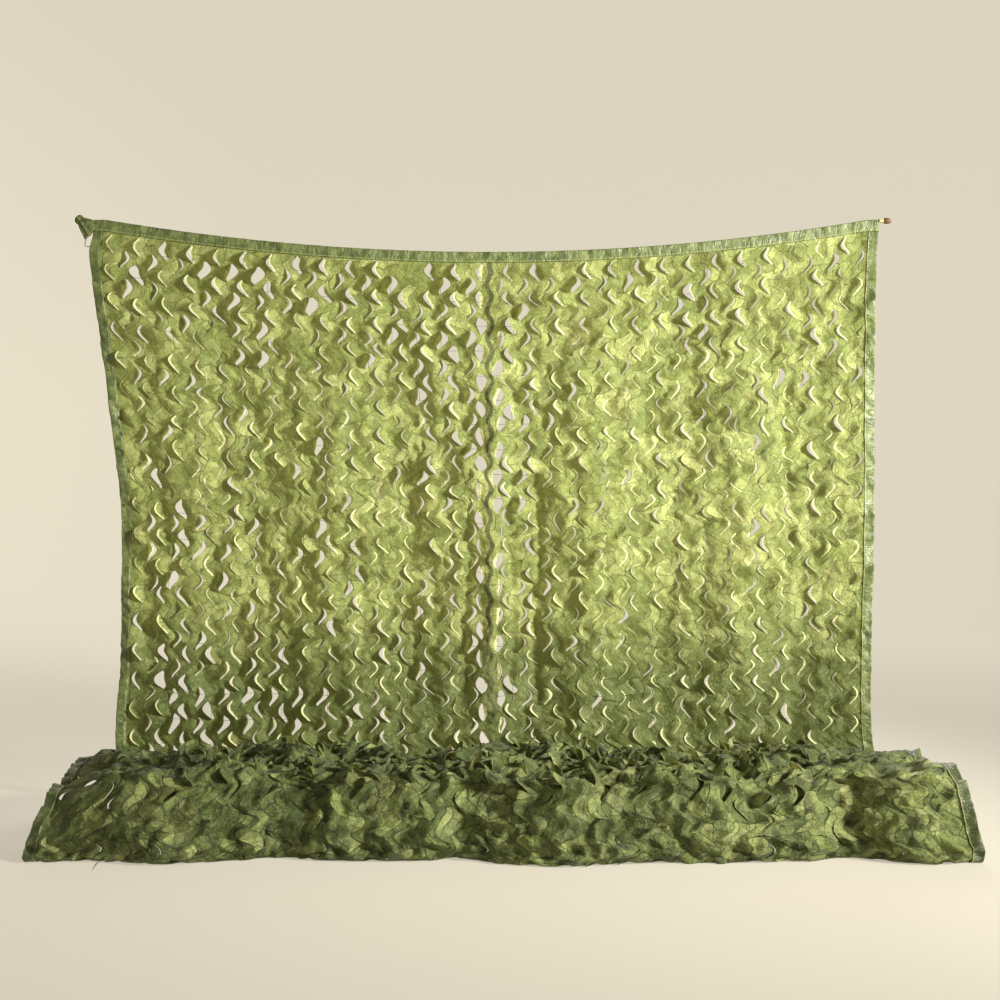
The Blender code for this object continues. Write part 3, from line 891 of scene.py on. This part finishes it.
def mixed(mat, under, colour, amount):
    """Lays a colour over another one, by an amount from 0 to 1; gives the mixed colour."""
    settings, links = {"data_type": "RGBA", 7: hex_colour(colour)}, {0: amount}
    if isinstance(under, str):
        settings[6] = hex_colour(under)
    else:
        links[6] = under
    return add_node(mat, "Mix", settings, links)[2]


def between(mat, value, low, high, most=1.0, least=0.0):
    """A value turned to least at low and to most at high."""
    settings = {"From Min": low, "From Max": high, "To Min": least, "To Max": most}
    return add_node(mat, "MapRange", settings, {"Value": value})["Result"]


def painted(mat, colour, *layers):
    """Lays colours over one another; each layer is a colour, a value, its span and its most."""
    for paint, value, *span in layers:
        colour = mixed(mat, colour, paint, between(mat, value, *span))
    return colour


def noise(mat, where, size, detail, distortion=0.0):
    """Soft noise with patches of about this size in metres."""
    settings = {"Scale": 1 / size, "Detail": detail, "Roughness": 0.62, "Distortion": distortion}
    return add_node(mat, "TexNoise", settings, {"Vector": where})["Fac"]


def relief_of(mat, height, distance, strength, under=None):
    """A bump of this height in metres, on top of another one where that is given."""
    links = {"Height": height} if under is None else {"Height": height, "Normal": under}
    return add_node(mat, "Bump", {"Strength": strength, "Distance": distance}, links)["Normal"]


def maths(mat, what, one, two=0.0):
    """One sum on a socket and a number, or on two sockets."""
    if isinstance(two, (int, float)):
        return add_node(mat, "Math", {"operation": what, 1: two}, {0: one})["Value"]
    return add_node(mat, "Math", {"operation": what}, {0: one, 1: two})["Value"]


# %% [markdown]
# ## Oxford cloth
# The leaves are thin polyester oxford cloth, dyed a plain olive green. Light passes through a
# single layer, so the hang glows where the bright wall is behind it and the heap, several
# layers deep, stays dark. A Principled surface gives the soft sheen, and a Translucent one
# mixed in gives the glow. Its 0.4 mm threads are too fine to see from here, so the weave is
# drawn 3 mm wide. Creased cloth is a patchwork of nearly flat facets, each at its own angle,
# and each facet is also painted lighter or darker, with painted shade in the lines between
# them. Each tongue is painted lighter or darker as if turned its own way to the light. Its cut
# edge has a painted highlight, and the crease at a slit's foot has painted shade.


# %% Patterns of the cloth
def leaning(mat, flat, size, stretch):
    """Flat patches that each lean their own way: their height, a painted light or shade for each,
    and their edges for painted crease shade.
    """
    bend = noise(mat, flat, size * 1.5, 2.0)
    wide = add_node(mat, "Mapping", {"Scale": stretch}, {"Vector": flat})["Vector"]
    settings = {"operation": "MULTIPLY_ADD", 1: (0.6 * size, 0.6 * size, 0)}
    where = add_node(mat, "VectorMath", settings, {0: bend, 2: wide})["Vector"]
    grid = {"voronoi_dimensions": "2D", "Scale": 1 / size}
    settings = {"feature": "SMOOTH_F1", "Smoothness": 0.06, **grid}
    cells = add_node(mat, "TexVoronoi", settings, {"Vector": where})
    settings = {"operation": "SUBTRACT", 1: (0.5, 0.5, 0.5)}
    lean = add_node(mat, "VectorMath", settings, {0: cells["Color"]})["Vector"]
    links = {0: where, 1: cells["Position"]}
    away = add_node(mat, "VectorMath", {"operation": "SUBTRACT"}, links)["Vector"]
    height = add_node(mat, "VectorMath", {"operation": "DOT_PRODUCT"}, {0: lean, 1: away})
    # a random value for each patch's painted light or shade
    shade = add_node(mat, "SeparateXYZ", {}, {"Vector": cells["Color"]})["Z"]
    settings = {"feature": "DISTANCE_TO_EDGE", **grid}
    rim = add_node(mat, "TexVoronoi", settings, {"Vector": where})["Distance"]
    # where painted shade goes along the patches' edges
    sharp, partly = between(mat, rim, 0.06, 0.01), between(mat, bend, 0.42, 0.56)
    return height["Value"], shade, maths(mat, "MULTIPLY", sharp, partly)


def threads(mat, flat, size):
    """The raised threads of a plain weave, on the flat cloth's own coordinates."""
    waves = []
    for axis in ("X", "Y"):
        settings = {"wave_type": "BANDS", "bands_direction": axis, "Distortion": 0.4}
        settings["Scale"] = math.pi / 10 / size
        waves.append(add_node(mat, "TexWave", settings, {"Vector": flat})["Fac"])
    return maths(mat, "MULTIPLY", *waves)


def fabric(mat, colour, normal, rough, through=None, share=0.0):
    """A matt cloth surface with a soft sheen, and light through it where a share is given."""
    links = {"Base Color": colour, "Normal": normal, "Roughness": rough}
    sheen = {"Sheen Weight": 0.08, "Sheen Roughness": 0.5, "IOR": 1.45}
    surface = add_node(mat, "BsdfPrincipled", sheen, links)[0]
    if share:
        links = {"Color": through, "Normal": normal}
        glow = add_node(mat, "BsdfTranslucent", {}, links)[0]
        surface = add_node(mat, "MixShader", {0: share}, {1: surface, 2: glow})[0]
    add_node(mat, "OutputMaterial", {}, {"Surface": surface})
    return mat


# %% Make the leaf cloth
# Painted light on the leaf cloth: a dark green for painted shade, a pale green for painted
# highlights, a paler one for the lips' painted highlight, the seam's shade, a near black green for
# painted shade in creases, and a warm tan.
PAINTED_LEAF_LIGHT, PAINTED_LEAF_SHADE = "#c6cb88", "#3e4e1c"
LIP_HIGHLIGHT, SEAM_SHADE, PAINTED_CREASE_SHADE, WARM_LEAF = "#d8da9e", "#4c5128", "#2f3812", "#b3a268"
SMALL_FACET, LEAF_FACET, THREAD_STEP = 0.030, 0.066, 0.003


def leaf_cloth(name, ground, deep, through, share):
    mat, here = new_material(name)
    flat = add_node(mat, "UVMap", {"uv_map": "flat_cloth"})["UV"]
    laid = add_node(mat, "UVMap", {"uv_map": "laid_cloth"})["UV"]
    lip, tone, ribbon, loose = (
        add_node(mat, "Attribute", {"attribute_name": title})["Fac"]
        for title in ("lip", "tone", "ribbon", "loose")
    )
    creases = noise(mat, here, 0.022, 5.0, 0.6)
    wrinkles = noise(mat, laid, 0.010, 2.0, 1.5)
    small, small_shade, small_edge = leaning(mat, laid, SMALL_FACET, (1.0, 1.0, 1.0))
    leaf, leaf_shade, leaf_edge = leaning(mat, flat, LEAF_FACET, (1.25, 0.9, 1.0))
    small, leaf = (maths(mat, "MULTIPLY", facets, loose) for facets in (small, leaf))
    colour = painted(mat, ground, (deep, noise(mat, here, 0.09, 4.0), 0.42, 0.66, 0.6))
    # Each facet is painted darker or lighter at random, as painted shade and highlight.
    facet_shade = maths(mat, "MULTIPLY", loose, between(mat, leaf_shade, 0.45, 0.15, 0.7))
    facet_highlight = between(mat, leaf_shade, 0.55, 0.85, 0.3)
    colour = mixed(mat, colour, PAINTED_LEAF_SHADE, facet_shade)
    colour = mixed(mat, colour, PAINTED_LEAF_LIGHT, facet_highlight)
    # More painted shade and highlight: on the small facets, on each tongue, in the creases'
    # hollows and on the wrinkles' ridges and hollows.
    colour = painted(
        mat, colour,
        (PAINTED_LEAF_SHADE, small_shade, 0.40, 0.15, 0.35),
        (PAINTED_LEAF_LIGHT, small_shade, 0.60, 0.85, 0.16),
        (PAINTED_LEAF_SHADE, tone, -0.1, -0.8, 0.9),
        (PAINTED_LEAF_LIGHT, tone, 0.2, 0.9, 0.42),
        (PAINTED_LEAF_SHADE, creases, 0.42, 0.28, 0.4),
        (PAINTED_LEAF_LIGHT, wrinkles, 0.54, 0.68, 0.25),
        (PAINTED_LEAF_SHADE, wrinkles, 0.46, 0.32, 0.45),
    )
    warm = between(mat, noise(mat, here, 0.25, 2.0), 0.50, 0.62, 0.35)
    colour = mixed(mat, colour, WARM_LEAF, maths(mat, "MULTIPLY", warm, facet_highlight))
    # Painted shade along the facets' edges, as in the hollows of creases.
    crease_shade = maths(mat, "MULTIPLY", maths(mat, "MAXIMUM", leaf_edge, small_edge), 0.7)
    colour = mixed(mat, colour, PAINTED_CREASE_SHADE, maths(mat, "MULTIPLY", crease_shade, loose))
    # Painted shade along the seam's ribbon, painted shade across each slit from its tongue, and a
    # painted highlight on the tongue's cut edge.
    seam = (SEAM_SHADE, ribbon, 0.72, 0.95, 0.9)
    slit_shade, rim = (PAINTED_LEAF_SHADE, lip, -0.25, -0.9, 0.8), (LIP_HIGHLIGHT, lip, 0.16, 0.5)
    colour = painted(mat, colour, slit_shade, rim, seam)
    # The light through the cloth takes the same painted shade on the tongues, the lips' painted
    # highlight and the seam's shade.
    glow = painted(mat, through, (PAINTED_LEAF_SHADE, tone, -0.1, -0.8, 0.6), (*rim, 0.7), seam)
    normal = relief_of(mat, threads(mat, flat, THREAD_STEP), 0.0006, 0.25)
    bumps = ((creases, 0.006, 1.0), (wrinkles, 0.004, 0.8), (small, 0.9, 1.0), (leaf, 0.9, 1.0))
    for height, distance, strength in bumps:
        normal = relief_of(mat, height, distance, strength, normal)
    rough = between(mat, creases, 0.0, 1.0, 0.78, 0.55)
    return fabric(mat, colour, normal, rough, glow, share)


def dress(mat, *things):
    for thing in things:
        thing.data.materials.clear()
        thing.data.materials.append(mat)
    print(f"{mat.name}: {len(mat.node_tree.nodes)} nodes")


oxford = leaf_cloth("olive_oxford_cloth", "#85934c", "#566a2f", "#9c9c4c", 0.25)
dress(oxford, panel_left, panel_right)

# %% [markdown]
# ## Edge tape
# The tape is the same cloth, folded three layers thick, so hardly any light comes through it
# and it looks darker than the leaves. Its stitches run in a line 5 mm from its inner edge, 5 mm
# of thread and 2 mm of cloth in turn. They draw the tape up, so fine puckers cross it.


# %% Make the tape
STITCH_LINE, STITCH_WIDTH, STITCH_STEP = TAPE_WIDTH - 0.005, 0.0015, 0.007


def tape_cloth(name, ground, deep, thread):
    mat, here = new_material(name)
    flat = add_node(mat, "UVMap", {"uv_map": "tape"})["UV"]
    sides = add_node(mat, "SeparateXYZ", {}, {"Vector": flat})
    off_line = maths(mat, "ABSOLUTE", maths(mat, "SUBTRACT", sides["Y"], STITCH_LINE))
    beat = maths(mat, "FRACT", maths(mat, "DIVIDE", sides["X"], STITCH_STEP))
    line = between(mat, off_line, STITCH_WIDTH * 1.6, STITCH_WIDTH * 0.6)
    stitch = maths(mat, "MULTIPLY", line, between(mat, beat, 0.78, 0.70))
    squeeze = add_node(mat, "Mapping", {"Scale": (1.0, 0.5, 1.0)}, {"Vector": flat})
    puckers = noise(mat, squeeze["Vector"], 0.022, 4.0, 0.8)
    folds = noise(mat, here, 0.05, 4.0)
    # Soft patches of a deeper green, and painted shade in the puckers' hollows.
    colour = painted(mat, ground, (deep, folds, 0.40, 0.62), (deep, puckers, 0.48, 0.34, 0.8))
    # Painted shade in the folds where the side tapes lie in the heap.
    heaped = maths(mat, "MULTIPLY", folds, between(mat, sides["X"], 3.4, 3.8, 1.3))
    colour = mixed(mat, colour, PAINTED_CREASE_SHADE, heaped)
    colour = mixed(mat, colour, thread, stitch)
    height = maths(mat, "SUBTRACT", puckers, maths(mat, "MULTIPLY", line, 0.10))
    normal = relief_of(mat, height, 0.008, 0.9)
    return fabric(mat, colour, normal, between(mat, puckers, 0.0, 1.0, 0.8))


dress(tape_cloth("folded_cloth_tape", "#6d7846", "#49552c", "#8a9257"), *tapes.values())

# %% [markdown]
# ## The small finishes
# The gathered corner is the same dark cloth. The cord is twisted dark polyester. The peg is
# brown stained wood with its grain along the peg, and its wrap is tan cotton cord.


# %% Make the gathered cloth, the cord, the wrap and the wood
def worn_finish(name, ground, deep, size, height, stretch=(1.0, 1.0, 1.0), rough=0.7):
    """Two tones of one material in soft patches, which a stretch turns into grain."""
    mat, here = new_material(name)
    where = add_node(mat, "Mapping", {"Scale": stretch}, {"Vector": here})["Vector"]
    patches = noise(mat, where, size, 4.0)
    colour = painted(mat, ground, (deep, patches, 0.36, 0.64))
    sheen = between(mat, patches, 0.0, 1.0, rough + 0.1, rough - 0.1)
    return fabric(mat, colour, relief_of(mat, patches, height, 0.8), sheen)


dress(worn_finish("gathered_dark_cloth", "#6b7440", "#3a4420", 0.012, 0.003), gathered)
cord_twist = worn_finish("twisted_dark_cord", "#2a2b1c", "#18190c", 0.0025, 0.0004)
dress(cord_twist, strings, loop, *(cord for cord, _, _ in tie_ends.values()))
dress(worn_finish("tan_cotton_wrap", "#d8cfa0", "#a89868", 0.003, 0.0005), wrap)
dress(worn_finish("stained_wood", "#6e4a26", "#402610", 0.004, 0.0006, (0.2, 1.0, 1.0), 0.5), peg)

# %% [markdown]
# ## The room
# A round studio with a pale floor that curves up into its wall, so every view has the same
# plain background. The paper glows a little, most behind the net, where it lights the cloth
# through. A soft light stands at the right in front, and a weaker one behind.

# %% Build the room and the lights
ROOM_RADIUS, ROOM_BEND, ROOM_HEIGHT, ROOM_SIDES = 9.0, 2.0, 9.0, 64
FRONT_DEPTHS, BACK_DEPTHS = (-8.0, -2.5), (0.5, 7.0)  # where the glow changes along y
WORLD_LIGHT = 0.12


def room_paper(name, colour, glow, front_glow, floor_glow, back_glow):
    """Plain paper whose glow changes from the front of the room to its back."""
    mat, here = new_material(name)
    depth = add_node(mat, "SeparateXYZ", {}, {"Vector": here})["Y"]
    front = between(mat, depth, *FRONT_DEPTHS, floor_glow, front_glow)
    back = between(mat, depth, *BACK_DEPTHS, back_glow - floor_glow)
    settings = {"Base Color": hex_colour(colour), "Roughness": 0.9}
    settings["Emission Color"] = hex_colour(glow)
    links = {"Emission Strength": maths(mat, "ADD", front, back)}
    surface = add_node(mat, "BsdfPrincipled", settings, links)[0]
    add_node(mat, "OutputMaterial", {}, {"Surface": surface})
    mat.cycles.emission_sampling = "NONE"  # the paper is so large that rays find it anyway
    return mat


def round_room(name):
    """A round floor that curves up into a wall."""
    flat = ROOM_RADIUS - ROOM_BEND
    turns = np.linspace(0, math.pi / 2, 9)
    bend = [(flat + math.sin(t) * ROOM_BEND, ROOM_BEND - math.cos(t) * ROOM_BEND) for t in turns]
    line = [(0.5, 0.0), (3.0, 0.0), *bend, (ROOM_RADIUS, ROOM_HEIGHT)]
    angles = np.linspace(0, 2 * math.pi, ROOM_SIDES, endpoint=False)
    points = [(r * math.cos(a), r * math.sin(a), z) for r, z in line for a in angles]
    thing = add_mesh(name, points, ring_faces(len(line), ROOM_SIDES)[:-1])  # open at the top
    dress(room_paper("pale_paper", "#8f8b7e", "#fff6e2", 0.26, 0.46, 0.60), thing)
    return thing


round_room("floor_and_wall")


def soft_light(name, at, towards, size, power, colour, spread):
    light = bpy.data.lights.new(name, "AREA")
    light.shape, light.size, light.energy = "SQUARE", size, power
    light.color = hex_colour(colour)[:3]
    light.spread = math.radians(spread)
    lamp = bpy.data.objects.new(name, light)
    lamp.location = at
    lamp.rotation_euler = (Vector(towards) - Vector(at)).to_track_quat("-Z", "Y").to_euler()
    lamp.visible_camera = False
    bpy.context.collection.objects.link(lamp)
    print(f"{name} light: {power} W, {size} m wide")


soft_light("key", (4.6, -2.6, 2.4), (0.2, 0.1, 1.3), 0.9, 130, "#fffaf0", 66)
soft_light("through", (1.2, 3.4, 3.2), (0.2, 0.4, 1.5), 2.0, 42, "#ffffff", 90)
world = bpy.data.worlds.new("studio")
world.use_nodes = True
background = world.node_tree.nodes["Background"].inputs
background["Color"].default_value = (1, 1, 1, 1)
background["Strength"].default_value = WORLD_LIGHT
scene.world = world

# %% [markdown]
# ## Hand the pieces to the frame
# Every piece rides on the one body, and each solid of the CAD model is hidden and replaced by
# its own piece.

for piece, node, slot in (
    (panel_left, "panel_left", "leaf_cloth"),
    (panel_right, "panel_right", "leaf_cloth"),
    *((tape, node, "edge_tape") for node, tape in tapes.items()),
    (gathered, "corner_knot", "edge_tape"),
    (loop, "tie_loop", "dark_cord"),
    *((cord, node, "dark_cord") for node, (cord, _, _) in tie_ends.items()),
    (wrap, "peg_collar", "peg_wrap"),
    (peg, "peg", "peg_wood"),
):
    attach(piece, "root")
    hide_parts(node)
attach(strings, "root")
